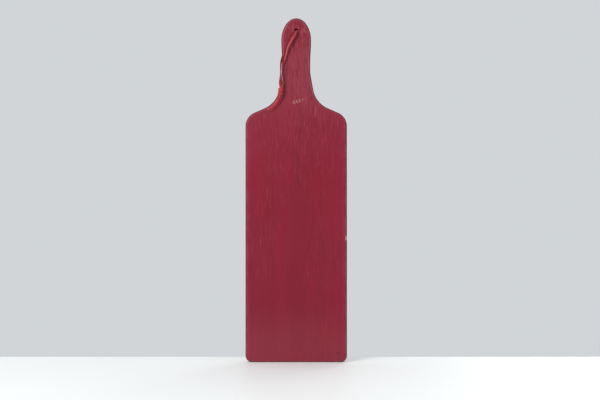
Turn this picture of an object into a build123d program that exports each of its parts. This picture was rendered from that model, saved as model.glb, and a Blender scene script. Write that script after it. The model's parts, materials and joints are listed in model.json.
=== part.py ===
from build123d import *

import os
from math import cos, pi, radians, sin, tan

# A long wooden serving board with a paddle handle, and the leather lace tied through the handle.
# Millimetres. The board stands on its foot: +Z is up, its front faces -Y, +X is to its right, and the
# origin is the centre of the foot.

# Board
board_length = 610
board_width = 180
board_thickness = 20
edge_round = 3.5
foot_corner_round = 11.5

# Outline of the right side above the foot: corners of its straight runs, each rounded by an arc
shoulder_height = 435.5
shoulder_round = 26
neck_half_width = 34.5
neck_height = 460
neck_round = 44
waist_half_width = 24.9
waist_height = 513
waist_round = 60
waist_top = 530

# Swollen grip, whose sides swell gently from the waist, and its half-elliptical end
grip_half_width = 26.4
grip_height = 571
swell = 20

# Hole for the lace
hole_height = 588.5
hole_diameter = 6
hole_rim_round = 1.2

# Sprig stamped into the front, under the handle: a rising stem with pairs of leaves and one at its tip
sprig_left = -8.5
sprig_foot = 459
sprig_rise = 18
sprig_length = 19
sprig_depth = 0.5
stem_width = 0.7
leaf_length = 5.4
leaf_width = 2.3
leaf_lean = 42
leaf_pairs = 3
leaf_start = 3
leaf_pitch = 5.2

# Lace: flat leather, held here as a round tube of about its section's area, just off the board's faces
lace_diameter = 4
lace_gap = 0.4
run_share = 0.45
lay = board_thickness / 2 + lace_gap + lace_diameter / 2

# Knot: the lump that the two strands run into from above and the two tails leave below
knot_width = 11
knot_depth = 8
knot_length = 14
knot_corner_round = 3.4
knot_end_round = 1
knot_x = -27.2
knot_height = 479.5
knot_tilt = 8
knot_pitch = 4.6
knot_lay = board_thickness / 2 + lace_gap + knot_depth / 2
strand_lead = 6.5
tail_lead = 5.5

hole_plane = Plane(origin=(0, -board_thickness / 2, hole_height), z_dir=(0, -1, 0))
sprig_plane = Plane(
    origin=(sprig_left, -board_thickness / 2, sprig_foot),
    x_dir=(cos(radians(sprig_rise)), 0, sin(radians(sprig_rise))),
    z_dir=(0, -1, 0),
)
knot_plane = Plane(
    origin=(knot_x, -knot_lay, knot_height),
    x_dir=(cos(radians(knot_tilt)), 0, -sin(radians(knot_tilt))),
    z_dir=(sin(radians(knot_tilt)), 0, cos(radians(knot_tilt))),
)


def at_knot(side, along):
    """A point in line with the knot's ends: side is -1 for the left, 1 for the right."""
    return tuple(knot_plane.from_local_coords((side * knot_pitch / 2, 0, along)))


# Routes of the lace: from the middle of the hole, arched a little above its axis, to the knot, in front of
# the handle and behind it, then from the knot to the two cut ends
front_route = [
    (0.35, 0, 589.1),
    (0.35, -lay, 589.1),
    (-8.3, -lay, 575.2),
    (-14.6, -lay, 562),
    (-18.3, -lay, 548),
    (-21.2, -lay, 534),
    (-24, -lay, 521.5),
    (-24.9, -lay, 510.5),
    (-23.8, -lay - 0.6, 500.5),
    at_knot(1, knot_length / 2 + strand_lead),
    at_knot(1, knot_length / 2),
]
back_route = [
    (0.35, 0, 589.1),
    (0.35, lay, 589.1),
    (-8.5, lay, 575.5),
    (-16, lay, 563),
    (-22.4, lay, 551),
    (-27.2, lay - 0.2, 539),
    (-28.4, 7.6, 528),
    (-28.4, 0.2, 518),
    (-28.2, -7.2, 508.5),
    (-28.5, -lay - 0.6, 500.5),
    at_knot(-1, knot_length / 2 + strand_lead),
    at_knot(-1, knot_length / 2),
]
left_tail_route = [
    at_knot(-1, -knot_length / 2),
    at_knot(-1, -knot_length / 2 - tail_lead),
    (-34.8, -lay - 0.9, 461.8),
    (-40.4, -lay, 456.6),
    (-46, -lay, 452.1),
    (-51.2, -lay, 448.4),
]
right_tail_route = [
    at_knot(1, -knot_length / 2),
    at_knot(1, -knot_length / 2 - tail_lead),
    (-29.9, -lay - 0.9, 460.9),
    (-34.9, -lay, 455),
    (-40.2, -lay, 450.3),
    (-45.4, -lay, 446.4),
]


def corner_radii(points):
    """The arc radius at each corner of a route: as large as its two runs allow."""
    radii = []
    for before, corner, after in zip(points, points[1:], points[2:]):
        run_in = Vector(corner) - Vector(before)
        run_out = Vector(after) - Vector(corner)
        half_turn = radians(run_in.get_angle(run_out)) / 2
        radii.append(run_share * min(run_in.length, run_out.length) / tan(half_turn))
    return radii


def lace_tube(label, points):
    """One stretch of the lace, as a plain round tube along its route."""
    radii = corner_radii(points)
    with BuildPart() as tube:
        with BuildLine():
            path = FilletPolyline(*points, radius=radii)
        with BuildSketch(Plane(origin=path @ 0, z_dir=path % 0)):
            Circle(lace_diameter / 2)
        sweep()
    tube.part.label = label
    section = pi * lace_diameter**2 / 4
    print(label, "length", round(path.length, 1), "radii", [round(r, 1) for r in radii])
    print("   volume over section times length", round(tube.part.volume / (section * path.length), 4))
    return tube


# One leaf of the sprig, lying along X from its stalk at the origin
with BuildSketch() as leaf:
    with BuildLine():
        upper = ThreePointArc((0, 0), (leaf_length / 2, leaf_width / 2), (leaf_length, 0))
        ThreePointArc(upper @ 1, (leaf_length / 2, -leaf_width / 2), upper @ 0)
    make_face()

# Board: handle and blade in one piece, all its edges rounded over
with BuildPart() as board:
    with BuildSketch(Plane.XZ):
        with BuildLine():
            side = FilletPolyline(
                (0, 0),
                (board_width / 2, 0),
                (board_width / 2, shoulder_height),
                (neck_half_width, neck_height),
                (waist_half_width, waist_height),
                (waist_half_width, waist_top),
                radius=[foot_corner_round, shoulder_round, neck_round, waist_round],
            )
            Bezier(
                side @ 1,
                (waist_half_width, waist_top + swell),
                (grip_half_width, grip_height - swell),
                (grip_half_width, grip_height),
            )
            EllipticalCenterArc((0, grip_height), grip_half_width, board_length - grip_height, arc_size=90)
            mirror(about=Plane.YZ)
        make_face()
    extrude(amount=board_thickness / 2, both=True)
    fillet(board.faces().filter_by(Axis.Y).edges(), edge_round)

    with Locations(hole_plane):
        Hole(hole_diameter / 2)
    fillet(board.edges(Select.LAST).filter_by(GeomType.CIRCLE), hole_rim_round)

    with BuildSketch(sprig_plane):
        with Locations((sprig_length / 2, 0)):
            SlotOverall(sprig_length, stem_width)
        for pair in range(leaf_pairs):
            with Locations((leaf_start + pair * leaf_pitch, 0)):
                add(leaf.sketch, rotation=leaf_lean)
                add(leaf.sketch, rotation=-leaf_lean)
        with Locations((sprig_length - stem_width, 0)):
            add(leaf.sketch)
    extrude(amount=-sprig_depth, mode=Mode.SUBTRACT)
board.part.label = "board"

# Knot: a rounded lump with flat ends, which the strands and tails meet
with BuildPart() as lace_knot:
    with BuildSketch(knot_plane.offset(-knot_length / 2)):
        RectangleRounded(knot_width, knot_depth, knot_corner_round)
    extrude(amount=knot_length)
    fillet(lace_knot.faces().filter_by(knot_plane).edges(), knot_end_round)
lace_knot.part.label = "lace_knot"

lace_front_strand = lace_tube("lace_front_strand", front_route)
lace_back_strand = lace_tube("lace_back_strand", back_route)
lace_tail_left = lace_tube("lace_tail_left", left_tail_route)
lace_tail_right = lace_tube("lace_tail_right", right_tail_route)

os.makedirs("parts", exist_ok=True)
for piece in (board, lace_knot, lace_front_strand, lace_back_strand, lace_tail_left, lace_tail_right):
    export_step(piece.part, f"parts/{piece.part.label}.step")
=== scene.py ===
import json
import math

import bpy
import numpy as np
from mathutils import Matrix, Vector


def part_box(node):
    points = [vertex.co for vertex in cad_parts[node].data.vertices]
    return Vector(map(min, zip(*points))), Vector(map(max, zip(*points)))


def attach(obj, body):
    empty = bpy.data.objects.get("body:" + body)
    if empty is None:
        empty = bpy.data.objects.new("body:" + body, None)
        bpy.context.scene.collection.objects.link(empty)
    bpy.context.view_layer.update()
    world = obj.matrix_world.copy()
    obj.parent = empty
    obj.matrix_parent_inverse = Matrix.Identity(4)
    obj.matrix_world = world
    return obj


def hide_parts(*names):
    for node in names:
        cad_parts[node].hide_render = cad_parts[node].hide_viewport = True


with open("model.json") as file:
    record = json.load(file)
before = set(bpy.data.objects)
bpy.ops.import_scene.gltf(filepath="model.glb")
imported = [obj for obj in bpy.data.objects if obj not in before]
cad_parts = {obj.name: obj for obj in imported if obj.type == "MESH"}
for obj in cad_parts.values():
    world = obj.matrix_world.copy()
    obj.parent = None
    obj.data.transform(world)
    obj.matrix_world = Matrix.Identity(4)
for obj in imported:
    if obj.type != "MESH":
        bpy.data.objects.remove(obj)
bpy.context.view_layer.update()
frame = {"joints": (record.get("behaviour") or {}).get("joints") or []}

# A long red serving board on its foot, with a flat red leather lace through its handle, tied in a knot
# in front of the handle's root. Metres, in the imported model's frame.

MM = 0.001
board_low, board_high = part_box("board")
board_centre = (board_low + board_high) / 2
face_y = board_high.y  # half the board's thickness
hole = Vector(frame["joints"][0]["pos_m"])  # the lace swings about the hole's axis

# ---------------------------------------------------------------------------------------- camera

CAMERA_DISTANCE = 2.431  # from the board's front face
CAMERA_RIGHT = 0.0067
CAMERA_HEIGHT = 0.2876
LENS = 82.3


def make_camera():
    data = bpy.data.cameras.new("camera")
    data.lens = LENS
    camera = bpy.data.objects.new("camera", data)
    bpy.context.scene.collection.objects.link(camera)
    camera.location = (CAMERA_RIGHT, -face_y - CAMERA_DISTANCE, CAMERA_HEIGHT)
    camera.rotation_euler = (math.radians(90), 0, 0)
    bpy.context.scene.camera = camera


make_camera()

# ------------------------------------------------------------------------------------------ lace

# The lace is two strips that meet in the middle of the hole. Each runs to the knot, one in front of the
# handle and one behind it, turns round the knot and leaves it as a tail.

LACE_WIDTH = 5.8 * MM
LACE_THICKNESS = 1.8 * MM
LACE_CURL = 0.25 * MM  # how far the lace's edges lie behind its middle
SPLINE_STEPS = 14  # steps between two points of a route

# The knot's own axes: right, out from the board's face, and up along the knot
KNOT = Vector((-27.2, -15.5, 479.5)) * MM
KNOT_TILT = math.radians(8)
KNOT_RIGHT = Vector((math.cos(KNOT_TILT), 0, -math.sin(KNOT_TILT)))
KNOT_OUT = Vector((0, -1, 0))
KNOT_UP = Vector((math.sin(KNOT_TILT), 0, math.cos(KNOT_TILT)))

# The turns round the outside of the knot, in millimetres and degrees
WRAP_RIGHT = 4.3  # half a turn's width
WRAP_OUT = 4.5  # half its depth
WRAP_START = 165  # from the knot's right, by way of its front
WRAP_SECTION = (4.1, 1.7)  # the lace's width and thickness there


def along_knot(right, out, up):
    """A vector given along the knot's axes."""
    return KNOT_RIGHT * right + KNOT_OUT * out + KNOT_UP * up


def at_knot(right, out, up):
    """A point at so many millimetres from the knot's middle."""
    return KNOT + along_knot(right, out, up) * MM


def station(
    point,
    facing,
    width=LACE_WIDTH / MM,
    thickness=LACE_THICKNESS / MM,
    curl=LACE_CURL / MM,
):
    """A point of a lace's route, the way its grain side looks there, and its section in millimetres."""
    return Vector(point), Vector(facing).normalized(), Vector((width, thickness, curl)) * MM


def wrap_stations(sweep, low, high, count):
    """Stations round the outside of the knot, from low to high on it, with the grain side outwards."""
    stations = []
    for i in range(count):
        share = i / (count - 1)
        angle = math.radians(WRAP_START + sweep * share)
        right, out = math.cos(angle), math.sin(angle)
        point = at_knot(WRAP_RIGHT * right, WRAP_OUT * out, low + (high - low) * share)
        stations.append(station(point, along_knot(right, out, 0), *WRAP_SECTION))
    return stations


def core_station(right, out, up, width=4.2, thickness=1.4):
    """A station inside the knot, where the lace is pressed flat."""
    facing = along_knot(0.15 * right, 1, 0)
    return station(at_knot(right, out, up), facing, width, thickness, 0)


# Each strip's route, from the middle of the hole to its cut end: points in metres, sections in
# millimetres
front_stations = [
    # out of the hole
    station((0.0001, -0.0001, 0.5886), (-0.5, 0, -0.85), 5.0, 2.8, 0),
    station((0.0001, -0.0050, 0.5885), (-0.3, 0, -0.95), 4.8, 2.8, 0),
    station((0.0001, -0.0098, 0.5880), (-0.1, 0, -1), 4.6, 2.2, 0.2),
    # down the front of the handle, with the flesh side outwards
    station((-0.0004, -0.0152, 0.5852), (-0.1, 1, -0.6), 6.6, 1.8, -0.7),
    station((-0.0062, -0.0160, 0.5752), (0.2, 1, 0), 8.2, 1.7, -1.1),
    station((-0.0138, -0.0136, 0.5620), (0.3, 0.95, 0), 8.0, 1.7, -1.0),
    station((-0.0179, -0.0128, 0.5490), (0.25, 1, 0), 7.4, 1.7, -0.8),
    station((-0.0208, -0.0130, 0.5380), (0.05, 1, 0), 6.6, 1.8, -0.4),
    # turned edge on
    station((-0.0240, -0.0135, 0.5265), (-0.9, 0.45, 0)),
    station((-0.0267, -0.0136, 0.5130), (-1, -0.1, 0)),
    station((-0.0257, -0.0147, 0.5020), (-0.95, -0.3, 0), 5.4),
    # into the knot, down through it and out at its foot
    station(at_knot(1.9, 0.2, 13), along_knot(-0.7, 0.7, 0), 4.6),
    core_station(1.4, -0.2, 7),
    core_station(0.5, -0.6, 1),
    core_station(-0.2, -1.0, -4, 3.4, 1.6),
    station(at_knot(-2.2, -2.8, -7.4), along_knot(-0.6, -0.6, -0.5), 3.2, 1.8),
    station(at_knot(-4.2, -2.2, -6.4), along_knot(-1, -0.4, -0.2), 4.0, 1.8),
    # round it and up
    *wrap_stations(-620, -5.3, 2.6, 15),
    # back into it and down through it
    station(at_knot(-2.6, -3.7, 3.4), along_knot(-0.6, -0.8, 0), 3.6, 1.5),
    station(at_knot(-2.7, -1.5, 3.8), along_knot(-1, 0.2, 0), 3.6, 1.5),
    core_station(-0.4, 0.6, 4.0, 3.4),
    core_station(0.2, 0.7, 0),
    core_station(0.8, 0.4, -7.5, 4.6, 1.7),
    # the tail
    station((-0.0274, -0.0140, 0.4668), (0.1, -1, -0.2), 4.4),
    station((-0.0304, -0.0120, 0.4606), (0, -1, -0.1), 4.4),
    station((-0.0352, -0.0112, 0.4551), (0, -1, 0), 4.5),
    station((-0.0405, -0.0112, 0.4505), (0, -1, 0), 4.5),
    station((-0.0455, -0.0112, 0.4467), (0, -1, 0), 4.5),
]
back_stations = [
    # out of the hole
    station((0.0001, 0.0001, 0.5886), (0.5, 0, 0.85), 5.0, 2.8, 0),
    station((0.0000, 0.0050, 0.5886), (0.5, 0, 0.85), 4.8, 2.8, 0),
    station((-0.0003, 0.0098, 0.5881), (0.5, 0, 0.85), 4.4, 2.2, -0.2),
    # down the back of the handle
    station((-0.0024, 0.0134, 0.5845), (0.1, 1, 0.4), 5.6, 1.8, -0.2),
    station((-0.0085, 0.0113, 0.5745), (0, 1, 0)),
    station((-0.0160, 0.0114, 0.5625), (0, 1, 0)),
    station((-0.0208, 0.0120, 0.5510), (-0.05, 1, 0)),
    station((-0.0248, 0.0121, 0.5390), (-0.3, 0.9, 0)),
    # round its left edge to the front
    station((-0.0274, 0.0076, 0.5280), (-1, 0.5, 0)),
    station((-0.0272, 0.0002, 0.5180), (-1, 0.3, 0)),
    station((-0.0281, -0.0072, 0.5085), (-1, -0.1, 0)),
    station((-0.0292, -0.0110, 0.5000), (-0.95, -0.3, 0), 5.4),
    # into the knot and out at its upper left
    station(at_knot(-2.8, -2.3, 13), along_knot(-0.7, 0.7, 0), 4.8),
    core_station(-1.2, -2.2, 7.5),
    core_station(-0.6, -2.2, 5),
    station(at_knot(-2.2, -3.4, 2.4), along_knot(-0.6, -0.8, -0.3), 3.2, 1.6),
    station(at_knot(-4.2, -2.2, 2.6), along_knot(-1, -0.4, -0.2), 4.0, 1.8),
    # round it
    *wrap_stations(-260, 3.7, 6.9, 7),
    # back into it and down through it
    station(at_knot(-2.6, -3.7, 7.0), along_knot(-0.6, -0.8, 0), 3.4, 1.5),
    station(at_knot(-2.7, -1.4, 7.2), along_knot(-1, 0.2, 0), 3.2, 1.5),
    core_station(-0.8, 1.0, 7.6, 3.4, 1.6),
    core_station(-0.6, 2.0, 2.5),
    core_station(-0.8, 2.0, -3.5),
    core_station(-1.6, 1.6, -7.5, 4.6, 1.7),
    # the tail, which lies over the other
    station((-0.0312, -0.0158, 0.4669), (-0.2, -1, 0), 4.4),
    station((-0.0337, -0.0145, 0.4611), (-0.2, -1, 0.1), 4.4),
    station((-0.0387, -0.0139, 0.4556), (-0.2, -1, 0.24), 4.6),
    station((-0.0445, -0.0137, 0.4510), (-0.2, -1, 0.24), 4.6),
    station((-0.0500, -0.0135, 0.4472), (-0.15, -1, 0.18), 4.6),
]


def smooth(points):
    """The line that a smooth NURBS spline with these control points follows."""
    curve = bpy.data.curves.new("route", "CURVE")
    curve.dimensions = "3D"
    curve.resolution_u = SPLINE_STEPS
    spline = curve.splines.new("NURBS")
    spline.points.add(len(points) - 1)
    for place, point in zip(spline.points, points):
        place.co = (*point, 1)
    spline.order_u = 3
    spline.use_endpoint_u = True
    carrier = bpy.data.objects.new("route", curve)
    mesh = bpy.data.meshes.new_from_object(carrier)
    line = np.array([v.co for v in mesh.vertices], float)
    bpy.data.meshes.remove(mesh)
    bpy.data.curves.remove(curve)
    return line


RING = 28  # points round the lace's section
CORNER = 0.36  # 1 is an ellipse, 0 a rectangle
LEAST_BEND = 0.02  # radians that even a flat section is bent by, so that its radius is a number
CUT_SLANT = 0.35  # how far the cut end leans, as a share of the width
CUT_REACH = 4 * MM  # over which the lean comes in
CUT_EASE = 0.22 * MM  # the cut end's rounded rim
CUT_SHRINK = 0.88  # the cut face's size, as a share of the section
UNEVEN_PITCH = 9 * MM  # the lace's width and twist wander from one such place to the next
UNEVEN_WIDTH = 0.035  # as a share of the width
UNEVEN_TWIST = 0.05  # radians
FRONT_SEED = 3
BACK_SEED = 8
FRONT_PALE = 1.0  # how strongly the cut edges take a painted highlight where they turn outwards
BACK_PALE = 0.1


def ring_shape():
    """Points round the section, from -1 to 1 across the lace and through it."""
    angles = np.arange(RING) * 2 * math.pi / RING
    across = np.sign(np.cos(angles)) * np.abs(np.cos(angles)) ** CORNER
    through = np.sign(np.sin(angles)) * np.abs(np.sin(angles)) ** CORNER
    return across, through


def bent_section(across, through, width, thickness, curl):
    """The section bent round an arc, so that its edges lie about curl behind its middle."""
    bend = 8 * curl / width
    if abs(bend) < LEAST_BEND:
        bend = LEAST_BEND
    radius = width / bend
    turned = across * bend / 2
    reach = radius + through * thickness / 2
    middle = radius * math.sin(bend / 2) / (bend / 2)
    return reach * np.sin(turned), reach * np.cos(turned) - middle


def uneven(along, seed, spread):
    """A value that wanders about nought along the lace, and starts at nought."""
    places = np.arange(0, along[-1] + 2 * UNEVEN_PITCH, UNEVEN_PITCH)
    values = np.random.default_rng(seed).normal(0, spread, len(places))
    values[:2] = 0
    return np.interp(along, places, values)


def unit(vectors):
    return vectors / np.linalg.norm(vectors, axis=1)[:, None]


def lace_rings(line, along, facings, sizes, seed):
    """The lace's vertices, a ring of them at each point of its line and one more at the cut end."""
    tangents = unit(np.gradient(line, axis=0))
    facings = unit(facings - (facings * tangents).sum(1)[:, None] * tangents)
    sides = np.cross(tangents, facings)
    wander = uneven(along, seed, UNEVEN_WIDTH)
    twist = uneven(along, seed + 1, UNEVEN_TWIST)
    across, through = ring_shape()
    rings = []
    for i in range(len(line)):
        width, thickness, curl = sizes[i]
        width *= 1 + wander[i]
        side = sides[i] * math.cos(twist[i]) + facings[i] * math.sin(twist[i])
        facing = facings[i] * math.cos(twist[i]) - sides[i] * math.sin(twist[i])
        from_side, from_face = bent_section(across, through, width, thickness, curl)
        lean = CUT_SLANT * from_side * max(0, 1 - (along[-1] - along[i]) / CUT_REACH)
        ring = line[i] + np.outer(from_side, side) + np.outer(from_face, facing)
        rings.append(ring + np.outer(lean, tangents[i]))
    middle = rings[-1].mean(axis=0)
    rings.append(middle + (rings[-1] - middle) * CUT_SHRINK + tangents[-1] * CUT_EASE)
    return rings


def tube_faces(count):
    """Faces that join so many rings of vertices to a tube, and close its two ends."""
    faces = []
    for i in range(count - 1):
        for j in range(RING):
            k = (j + 1) % RING
            faces.append((i * RING + j, i * RING + k, (i + 1) * RING + k, (i + 1) * RING + j))
    faces.append(tuple(reversed(range(RING))))
    faces.append(tuple(range((count - 1) * RING, count * RING)))
    return faces


def store(mesh, name, values):
    attribute = mesh.attributes.new(name, "FLOAT", "POINT")
    attribute.data.foreach_set("value", values.astype(np.float32))


def build_lace(name, stations, seed, pale):
    """A flat leather lace along its stations, with the line that it follows.

    Its points store where they lie across, through and along the lace, whether they are at its cut tip,
    and how strongly its cut edges take a painted highlight, for its material.
    """
    line, facings, sizes = (smooth(values) for values in zip(*stations))
    steps = np.linalg.norm(np.diff(line, axis=0), axis=1)
    along = np.concatenate([[0], np.cumsum(steps)])
    rings = lace_rings(line, along, facings, sizes, seed)
    vertices = np.concatenate(rings)

    mesh = bpy.data.meshes.new(name)
    mesh.from_pydata([tuple(v) for v in vertices], [], tube_faces(len(rings)))
    mesh.validate()
    for face in mesh.polygons:
        face.use_smooth = len(face.vertices) == 4
    lace = bpy.data.objects.new(name, mesh)
    bpy.context.scene.collection.objects.link(lace)

    across, through = ring_shape()
    distances = np.append(along, along[-1] + CUT_EASE)
    store(mesh, "across", np.tile(across, len(rings)))
    store(mesh, "through", np.tile(through, len(rings)))
    store(mesh, "along", np.repeat(distances, RING))
    store(mesh, "tip", np.repeat(distances >= along[-1], RING))
    store(mesh, "pale", np.full(len(vertices), pale))
    return lace, line


def make_lace():
    front, front_line = build_lace("lace_front", front_stations, FRONT_SEED, FRONT_PALE)
    back, back_line = build_lace("lace_back", back_stations, BACK_SEED, BACK_PALE)
    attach(front, "lace")
    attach(back, "lace")
    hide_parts("lace_front_strand", "lace_knot", "lace_tail_right")
    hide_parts("lace_back_strand", "lace_tail_left")
    return front, back


lace_front, lace_back = make_lace()

# ------------------------------------------------------------------------------- material nodes


def new_material(name, roughness, specular):
    """A material with its node tree and its Principled shader."""
    material = bpy.data.materials.new(name)
    material.use_nodes = True
    tree = material.node_tree
    shader = next(n for n in tree.nodes if n.type == "BSDF_PRINCIPLED")
    shader.inputs["Roughness"].default_value = roughness
    shader.inputs["Specular IOR Level"].default_value = specular
    return material, tree, shader


def assign(piece, material):
    piece.data.materials.clear()
    piece.data.materials.append(material)


def give(tree, socket, value):
    """Feeds a socket from another socket, or sets it to a plain value."""
    if isinstance(value, bpy.types.NodeSocket):
        tree.links.new(value, socket)
    else:
        socket.default_value = value


def node(tree, kind, values, **settings):
    """A new node: settings are its properties, values its inputs."""
    made = tree.nodes.new(kind)
    for key, value in settings.items():
        setattr(made, key, value)
    for key, value in values.items():
        give(tree, made.inputs[key], value)
    return made


def attribute(tree, name):
    return node(tree, "ShaderNodeAttribute", {}, attribute_name=name).outputs["Fac"]


def vector_maths(tree, operation, first, second):
    values = {0: first, 1: second}
    return node(tree, "ShaderNodeVectorMath", values, operation=operation).outputs["Vector"]


def length_of(tree, vector):
    return node(tree, "ShaderNodeVectorMath", {0: vector}, operation="LENGTH").outputs["Value"]


def parts_of(tree, vector):
    made = node(tree, "ShaderNodeSeparateXYZ", {"Vector": vector})
    return made.outputs["X"], made.outputs["Y"], made.outputs["Z"]


def scaled(tree, place, scale):
    return node(tree, "ShaderNodeMapping", {"Vector": place, "Scale": scale}).outputs["Vector"]


def noise(tree, place, scale, detail=3, roughness=0.5):
    """Noise from 0 to 1 about 0.5, with a different number of waves per metre along each axis."""
    place = scaled(tree, place, scale)
    values = {"Vector": place, "Scale": 1, "Detail": detail, "Roughness": roughness}
    return node(tree, "ShaderNodeTexNoise", values).outputs["Fac"]


def cells(tree, place, scale):
    """The distance to the nearest of many scattered points, from 0 at the point."""
    values = {"Vector": scaled(tree, place, scale), "Scale": 1}
    return node(tree, "ShaderNodeTexVoronoi", values).outputs["Distance"]


def ramp(tree, value, low, high, to_low=0, to_high=1):
    """The value from low to high, carried smoothly onto to_low to to_high."""
    values = {"Value": value, "From Min": low, "From Max": high, "To Min": to_low, "To Max": to_high}
    made = node(tree, "ShaderNodeMapRange", values, interpolation_type="SMOOTHSTEP")
    return made.outputs["Result"]


def maths(tree, operation, first, second=0.0):
    return node(tree, "ShaderNodeMath", {0: first, 1: second}, operation=operation).outputs["Value"]


def product(tree, first, *others):
    for other in others:
        first = maths(tree, "MULTIPLY", first, other)
    return first


def total(tree, first, *others):
    for other in others:
        first = maths(tree, "ADD", first, other)
    return first


def mixed(tree, share, first, second):
    """Two colours mixed, the second by its share."""
    made = tree.nodes.new("ShaderNodeMix")
    made.data_type = "RGBA"
    colours = [s for s in made.inputs if s.type == "RGBA"]
    for socket, value in zip((made.inputs[0], *colours), (share, first, second)):
        give(tree, socket, value)
    return next(s for s in made.outputs if s.type == "RGBA")


def layered(tree, colour, *layers):
    """A colour with others laid over it in turn, each given as its share and its colour."""
    for share, tint in layers:
        colour = mixed(tree, share, colour, tint)
    return colour


def bump(tree, height, distance):
    values = {"Height": height, "Distance": distance, "Strength": 1}
    return node(tree, "ShaderNodeBump", values).outputs["Normal"]


def finish_shader(tree, shader, colour, roughness, normal):
    give(tree, shader.inputs["Base Color"], colour)
    give(tree, shader.inputs["Roughness"], roughness)
    give(tree, shader.inputs["Normal"], normal)


# ----------------------------------------------------------------------------------------- paint

PAINT = (0.203, 0.0060, 0.0215, 1)
PAINT_DEEP = (0.140, 0.0026, 0.0115, 1)
# painted shade for the outside of the rounded edges
PAINT_EDGE_SHADE = (0.070, 0.0014, 0.0060, 1)
# paler paint for raised fibres and flecks, also used as painted sheen towards the ends and beside the
# long edges
PAINT_THIN_AND_SHEEN = (0.285, 0.034, 0.061, 1)
PAINT_RICH = (0.235, 0.0035, 0.0200, 1)
PAINT_GREY = (0.250, 0.060, 0.070, 1)
# partly wear and partly painted sheen on the rounded edges
PAINT_WORN_AND_SHEEN = (0.38, 0.085, 0.12, 1)
STAMPED = (0.46, 0.16, 0.16, 1)
BARE_WOOD = (0.55, 0.33, 0.22, 1)
# painted shade on the hole's wall
HOLE_SHADE = (0.020, 0.002, 0.003, 1)

# Between these two heights, or distances, the paint changes from the one state to the other
TOP_LIGHT_RISE = (0.30, 0.52)  # up to the handle, the paint is painted paler, a painted sheen from above, and the grain marks are painted stronger, as painted raking light
CLEAR_GRAIN = (0.06, 0.28)  # up from the foot, the grain shows more
# painted sheen: paler just above the foot, as from the floor's light
FOOT_FLOOR_SHEEN = (0.10, 0.01)
RICH_BLADE = (0.42, 0.30)
# painted reflection: greyer towards the handle and the foot
GREY_HANDLE = (0.42, 0.49)
GREY_FOOT = (0.12, 0.02)
# the edge band, partly wear and partly painted sheen, grows towards the handle
HANDLE_WEAR_AND_SHEEN = (0.44, 0.48)
HANDLED = (0.545, 0.585)
BESIDE_EDGE = (0.078, 0.086)  # from the board's middle towards its long edges
HOLE_WALL = (3.7 * MM, 3.2 * MM)  # from the hole's axis
SPRIG_FLOOR = (-face_y + 0.2 * MM, -face_y + 0.4 * MM)  # behind the front face

CHIP = Vector((88.6, -9.2, 220)) * MM  # a chip in the paint, on the front's right edge
CHIP_RADII = (2 * MM, 2.4 * MM, 4.5 * MM)
SMUDGE = Vector((74, -10, 16)) * MM  # a dark smudge near the foot
SMUDGE_RADII = (5 * MM, 5 * MM, 2 * MM)
GRAIN_DRIFT = 0.018  # how far the grain wanders to the side
PAINT_RELIEF = 0.12 * MM


def spot(tree, place, centre, radii, ragged):
    """1 in a ragged spot about a point and 0 away from it."""
    away = vector_maths(tree, "SUBTRACT", place, centre)
    distance = length_of(tree, scaled(tree, away, [1 / r for r in radii]))
    rough = product(tree, noise(tree, place, (600, 600, 420), 3), ragged)
    return ramp(tree, total(tree, distance, rough), 1 + ragged / 2, 0.8 + ragged / 2)


def along_grain(tree, place):
    """The place, shifted so that the grain wanders a little to the side as it runs up the board."""
    drift = product(tree, noise(tree, place, (14, 14, 3.2), 2), GRAIN_DRIFT)
    shift = node(tree, "ShaderNodeCombineXYZ", {"X": drift}).outputs["Vector"]
    return vector_maths(tree, "ADD", place, shift)


def grain_marks(tree, place, grain_place, up):
    """Open pores, raised fibres, and pale and deep flecks, in streaks and patches along the grain."""
    # the grain marks are painted stronger towards the handle, which stands for light raking down from
    # above
    top_light = ramp(tree, up, *TOP_LIGHT_RISE)
    early = ramp(tree, noise(tree, grain_place, (120, 90, 2.2), 2), 0.38, 0.62)
    patches = ramp(tree, noise(tree, place, (16, 16, 6), 1), 0.35, 0.62, 0.25, 1)
    patchy = total(tree, patches, product(tree, top_light, 0.26))
    patchy = product(tree, patchy, ramp(tree, up, *CLEAR_GRAIN, 0.5, 1))
    flecked = ramp(tree, top_light, 0, 1, 0.35, 1)
    pores = ramp(tree, noise(tree, grain_place, (1150, 1150, 34), 2, 0.6), 0.57, 0.66)
    ridges = ramp(tree, noise(tree, grain_place, (700, 700, 22), 2, 0.6), 0.58, 0.7)
    flecks = noise(tree, grain_place, (430, 430, 42), 2, 0.6)
    return (
        product(tree, pores, early, patchy),
        product(tree, ridges, patchy),
        product(tree, ramp(tree, flecks, 0.55, 0.68), patchy, flecked),
        product(tree, ramp(tree, flecks, 0.45, 0.32), patchy, flecked),
    )


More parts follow.
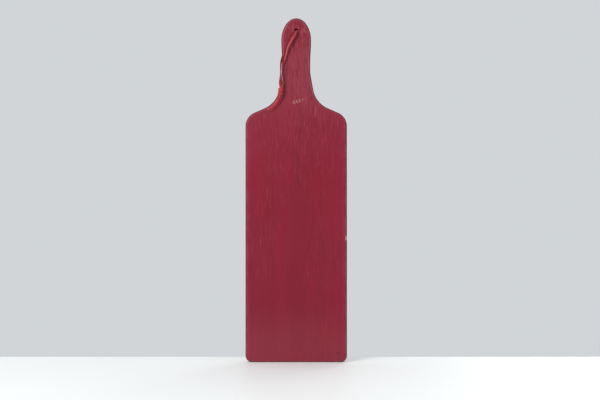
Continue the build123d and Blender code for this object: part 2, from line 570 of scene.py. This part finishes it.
def coat_colour(tree, place, streaks, rub, from_side, up):
    """The coat, deeper in some places than in others, and painted paler and greyer towards both ends of
    the board, a painted sheen from the surroundings.
    """
    clouds = ramp(tree, noise(tree, place, (7, 7, 4.5), 3), 0.4, 0.7, 0, 0.12)
    # painted sheen: paler towards the handle
    top_light = product(tree, ramp(tree, up, *TOP_LIGHT_RISE), 0.24)
    ends = total(tree, top_light, ramp(tree, up, *FOOT_FLOOR_SHEEN, 0, 0.2))
    rich = ramp(tree, noise(tree, place, (15, 15, 3.5), 3), 0.48, 0.66, 0, 0.55)
    # painted reflection: greyer towards the handle and the foot
    greyed = total(tree, ramp(tree, up, *GREY_HANDLE, 0, 0.22), ramp(tree, up, *GREY_FOOT, 0, 0.2))
    # partly wear and partly painted sheen: paler in patches beside the long edges
    beside = ramp(tree, maths(tree, "ABSOLUTE", from_side), *BESIDE_EDGE, 0, 0.3)
    return layered(
        tree,
        PAINT,
        (ramp(tree, streaks, 0.36, 0.64, 0, 0.26), PAINT_DEEP),
        (total(tree, clouds, ends), PAINT_THIN_AND_SHEEN),
        (product(tree, rich, ramp(tree, up, *RICH_BLADE)), PAINT_RICH),
        (greyed, PAINT_GREY),
        (product(tree, beside, ramp(tree, rub, 0.35, 0.6, 0.3, 1)), PAINT_THIN_AND_SHEEN),
    )


def handled_colour(tree, colour, place, rub, up):
    """The handle's end, mottled where hands have held it."""
    mottle = noise(tree, place, (260, 260, 200), 3, 0.6)
    handled = ramp(tree, up, *HANDLED)
    return layered(
        tree,
        colour,
        (product(tree, ramp(tree, mottle, 0.46, 0.60, 0, 0.75), handled), PAINT_RICH),
        (product(tree, ramp(tree, mottle, 0.48, 0.36, 0, 0.6), handled), PAINT_GREY),
        (product(tree, ramp(tree, rub, 0.44, 0.60, 0.12, 0.6), handled), PAINT_DEEP),
    )


def edge_colour(tree, colour, rub, facing, up):
    """The rounded edges: painted shade round the outside, and a paler band inside it, partly worn
    through in patches and partly painted sheen.
    """
    # painted shade round the outside of each rounding
    edge_shade = product(tree, ramp(tree, facing, 0.93, 0.6), ramp(tree, facing, 0.04, 0.3))
    # partly wear and partly painted sheen along the inner border of each rounding
    edge_wear_and_sheen = product(tree, ramp(tree, facing, 0.86, 0.95), ramp(tree, facing, 0.999, 0.98))
    rubbed = total(tree, ramp(tree, rub, 0.42, 0.66, 0.14, 0.6), ramp(tree, up, *HANDLE_WEAR_AND_SHEEN, 0, 0.2))
    return layered(
        tree,
        colour,
        (product(tree, edge_shade, 0.85), PAINT_EDGE_SHADE),
        (product(tree, edge_wear_and_sheen, rubbed), PAINT_WORN_AND_SHEEN),
    )


def in_hole(tree, place, facing):
    """1 on the hole's wall and 0 away from it."""
    off_axis = scaled(tree, vector_maths(tree, "SUBTRACT", place, hole), (1, 0, 1))
    near = ramp(tree, length_of(tree, off_axis), *HOLE_WALL)
    return product(tree, near, ramp(tree, facing, 0.7, 0.3))


def make_paint():
    """Satin red paint over open-pored wood, whose grain runs up the board."""
    material, tree, shader = new_material("red_paint", 0.42, 0.2)
    place = node(tree, "ShaderNodeTexCoord", {}).outputs["Object"]
    normal = node(tree, "ShaderNodeNewGeometry", {}).outputs["Normal"]
    from_side, out, up = parts_of(tree, place)
    _, out_normal, _ = parts_of(tree, normal)
    facing = maths(tree, "ABSOLUTE", out_normal)
    grain_place = along_grain(tree, place)
    streaks = noise(tree, grain_place, (60, 60, 1.8), 4, 0.55)
    rub = noise(tree, place, (90, 90, 38), 4, 0.65)
    pores, ridges, pale_flecks, deep_flecks = grain_marks(tree, place, grain_place, up)

    colour = coat_colour(tree, place, streaks, rub, from_side, up)
    colour = handled_colour(tree, colour, place, rub, up)
    colour = layered(
        tree,
        colour,
        (product(tree, pores, 0.6), PAINT_DEEP),
        (product(tree, deep_flecks, 0.6), PAINT_DEEP),
        (product(tree, ridges, 0.4), PAINT_THIN_AND_SHEEN),
        (product(tree, pale_flecks, 0.7), PAINT_THIN_AND_SHEEN),
    )
    colour = edge_colour(tree, colour, rub, facing, up)

    # The marks: the wood shows through the paint in the chip, and the stamped sprig's floor is pale,
    # partly the wood showing through and partly a painted highlight
    smudge = spot(tree, place, SMUDGE, SMUDGE_RADII, 1.2)
    chip = spot(tree, place, CHIP, CHIP_RADII, 0.9)
    sunk = product(tree, ramp(tree, out, *SPRIG_FLOOR), ramp(tree, out_normal, -0.95, -0.98))
    # painted shade: the hole's wall is painted near black and matt
    inside = in_hole(tree, place, facing)
    colour = layered(
        tree,
        colour,
        (product(tree, smudge, 0.5), PAINT_DEEP),
        (product(tree, chip, 0.8), BARE_WOOD),
        (product(tree, sunk, ramp(tree, ridges, 0, 1, 0.75, 0.3)), STAMPED),
        (inside, HOLE_SHADE),
    )

    roughness = total(tree, ramp(tree, streaks, 0.3, 0.7, 0.38, 0.48), product(tree, pores, 0.12))
    matt = maths(tree, "MAXIMUM", inside, product(tree, sunk, 0.7))
    matt = maths(tree, "MAXIMUM", product(tree, chip, 0.8), matt)
    roughness = maths(tree, "MAXIMUM", roughness, matt)
    fibres = noise(tree, grain_place, (2400, 2400, 60), 3, 0.6)
    height = maths(tree, "SUBTRACT", product(tree, ridges, 0.5), pores)
    height = total(tree, height, product(tree, fibres, 0.35))
    height = maths(tree, "SUBTRACT", height, product(tree, chip, 1.5))
    finish_shader(tree, shader, colour, roughness, bump(tree, height, PAINT_RELIEF))
    return material


# --------------------------------------------------------------------------------------- leather

GRAIN_SIDE = (0.33, 0.0095, 0.029, 1)
GRAIN_DEEP = (0.19, 0.004, 0.011, 1)
GRAIN_WORN = (0.48, 0.048, 0.078, 1)
# painted highlight for the knot
KNOT_HIGHLIGHT = (0.42, 0.026, 0.026, 1)
FLESH_SIDE = (0.16, 0.005, 0.011, 1)
# painted light for one half of the flesh side
FLESH_LIT_HALF = (0.235, 0.022, 0.040, 1)
# painted highlight along the flesh side's fold
CREASE_HIGHLIGHT = (0.47, 0.095, 0.125, 1)
# painted highlight on the cut edges
CUT_EDGE_HIGHLIGHT = (0.66, 0.24, 0.28, 1)
DARK_EDGE = (0.20, 0.008, 0.016, 1)
CUT_TIP = (0.62, 0.12, 0.10, 1)
LEATHER_RELIEF = 0.08 * MM

# Heights at which the lace's colours change
KNOT_FOOT = 0.4705
KNOT_TOP = 0.4885
TURNED_OUT = (0.536, 0.527)  # below here the front strand's cut edge looks outwards,
TURNED_BACK = (0.488, 0.500)  # and above here


def grain_colour(tree, rim, stretch, blotches, up):
    """The grain side: painted brighter in the knot, a painted highlight, and painted darker in the
    strands above the knot, a painted shade.
    """
    from_foot = ramp(tree, up, KNOT_FOOT - 1.5 * MM, KNOT_FOOT)
    # painted highlight: the knot is painted brighter
    in_knot = product(tree, from_foot, ramp(tree, up, KNOT_TOP, KNOT_TOP - MM))
    # painted shade: the strands above the knot are painted darker
    above = ramp(tree, up, KNOT_TOP - MM, KNOT_TOP + 2 * MM)
    rubbed = product(tree, ramp(tree, rim, 0.3, 0.95), ramp(tree, blotches, 0.38, 0.6, 0.15, 0.7))
    return layered(
        tree,
        GRAIN_SIDE,
        (in_knot, KNOT_HIGHLIGHT),
        (product(tree, above, 0.65), GRAIN_DEEP),
        (ramp(tree, stretch, 0.35, 0.7, 0, 0.6), GRAIN_DEEP),
        (product(tree, rubbed, maths(tree, "SUBTRACT", 1, above)), GRAIN_WORN),
    )


def flesh_colour(tree, across, stretch, blotches, fuzz):
    """The flesh side: a painted highlight runs along the fold in its middle, and one half is painted
    lighter, as painted light and shade across the fold.
    """
    wavy = total(tree, across, ramp(tree, stretch, 0.3, 0.7, -0.12, 0.12))
    # painted highlight along the fold's ridge
    crease = product(tree, ramp(tree, wavy, -0.15, 0.05), ramp(tree, wavy, 0.42, 0.2))
    # one half painted lighter than the other: painted light and shade across the fold
    return layered(
        tree,
        FLESH_SIDE,
        (ramp(tree, across, 0.15, 0.4), FLESH_LIT_HALF),
        (ramp(tree, fuzz, 0.35, 0.65, 0, 0.35), GRAIN_DEEP),
        (product(tree, crease, ramp(tree, blotches, 0.3, 0.6, 0.55, 0.95)), CREASE_HIGHLIGHT),
    )


def cut_edge_colour(tree, pale, fuzz, up):
    """The cut edges, which take a painted highlight where the front strand turns them outwards."""
    # painted highlight where the front strand turns its cut edges outwards
    turned = product(tree, ramp(tree, up, *TURNED_OUT), ramp(tree, up, *TURNED_BACK), pale)
    return layered(
        tree,
        DARK_EDGE,
        (turned, CUT_EDGE_HIGHLIGHT),
        (ramp(tree, fuzz, 0.35, 0.65, 0, 0.3), GRAIN_SIDE),
    )


def make_leather():
    """Flat leather: a smooth dyed grain side, a darker fibrous flesh side and cut edges."""
    material, tree, shader = new_material("red_leather", 0.5, 0.3)
    across, through, along, tip, pale = (
        attribute(tree, name) for name in ("across", "through", "along", "tip", "pale")
    )
    _, _, up = parts_of(tree, node(tree, "ShaderNodeTexCoord", {}).outputs["Object"])
    parts = {
        "X": product(tree, across, LACE_WIDTH / 2),
        "Y": product(tree, through, LACE_THICKNESS / 2),
        "Z": along,
    }
    place = node(tree, "ShaderNodeCombineXYZ", parts).outputs["Vector"]
    stretch = noise(tree, place, (500, 500, 120), 3)
    blotches = noise(tree, place, (160, 160, 90), 2)
    fuzz = noise(tree, place, (3200, 3200, 1400), 4, 0.7)
    pebbles = cells(tree, place, (2600, 2600, 2200))
    creases = noise(tree, place, (350, 350, 1500), 3, 0.6)

    rim = maths(tree, "ABSOLUTE", across)
    is_grain = ramp(tree, through, 0.2, 0.75)
    is_edge = ramp(tree, rim, 0.955, 0.99)
    colour = layered(
        tree,
        flesh_colour(tree, across, stretch, blotches, fuzz),
        (is_grain, grain_colour(tree, rim, stretch, blotches, up)),
        (is_edge, cut_edge_colour(tree, pale, fuzz, up)),
        (product(tree, tip, 0.8), CUT_TIP),
    )

    # The grain side is smooth and pebbled, and the rest is rough with fibres
    smoothness = product(tree, is_grain, maths(tree, "SUBTRACT", 1, is_edge))
    roughness = ramp(tree, smoothness, 0, 1, 0.85, 0.42)
    roughness = total(tree, roughness, ramp(tree, blotches, 0.35, 0.65, -0.05, 0.07))
    pebbled = product(tree, smoothness, ramp(tree, pebbles, 0.1, 0.7))
    fibrous = product(tree, maths(tree, "SUBTRACT", 1, smoothness), fuzz)
    height = total(tree, pebbled, fibrous, product(tree, creases, 0.8))
    finish_shader(tree, shader, colour, roughness, bump(tree, height, LEATHER_RELIEF))
    return material


def make_materials():
    assign(bpy.data.objects["board"], make_paint())
    leather = make_leather()
    assign(lace_front, leather)
    assign(lace_back, leather)


make_materials()

# --------------------------------------------------------------------------------- stage and light

FLOOR_BACK = 0.075  # the floor ends this far behind the board's middle
FLOOR_REACH = 6.0
WALL_TONE = (0.638, 0.665, 0.680, 1)
FLOOR_TONE = (0.985, 0.99, 0.98, 1)
LIGHT_SIZE = 1.4
KEY_PLACE = (-1.6, -2.2, 1.4)
KEY_POWER = 50
FILL_PLACE = (1.2, 2.6, 1.0)
FILL_POWER = 16


def make_stage():
    """A plain pale floor, which ends behind the board, where the plain backdrop shows."""
    mesh = bpy.data.meshes.new("floor")
    left, right, front, back = -FLOOR_REACH, FLOOR_REACH, -FLOOR_REACH, FLOOR_BACK
    corners = [(left, front, 0), (right, front, 0), (right, back, 0), (left, back, 0)]
    mesh.from_pydata(corners, [], [(0, 1, 2, 3)])
    floor = bpy.data.objects.new("floor", mesh)
    bpy.context.scene.collection.objects.link(floor)
    material, _, shader = new_material("floor", 0.5, 0.3)
    shader.inputs["Base Color"].default_value = FLOOR_TONE
    assign(floor, material)


def make_light(name, place, power):
    """A round soft light that shines on the middle of the board."""
    data = bpy.data.lights.new(name, "AREA")
    data.shape = "DISK"
    data.size = LIGHT_SIZE
    data.energy = power
    light = bpy.data.objects.new(name, data)
    bpy.context.scene.collection.objects.link(light)
    light.location = place
    light.rotation_euler = (board_centre - Vector(place)).to_track_quat("-Z", "Y").to_euler()


def make_lights():
    world = bpy.data.worlds.new("studio")
    bpy.context.scene.world = world
    world.use_nodes = True
    background = world.node_tree.nodes["Background"]
    background.inputs["Color"].default_value = WALL_TONE
    background.inputs["Strength"].default_value = 1.0
    make_light("key", KEY_PLACE, KEY_POWER)
    make_light("fill", FILL_PLACE, FILL_POWER)
    bpy.context.scene.view_settings.view_transform = "Standard"


make_stage()
make_lights()
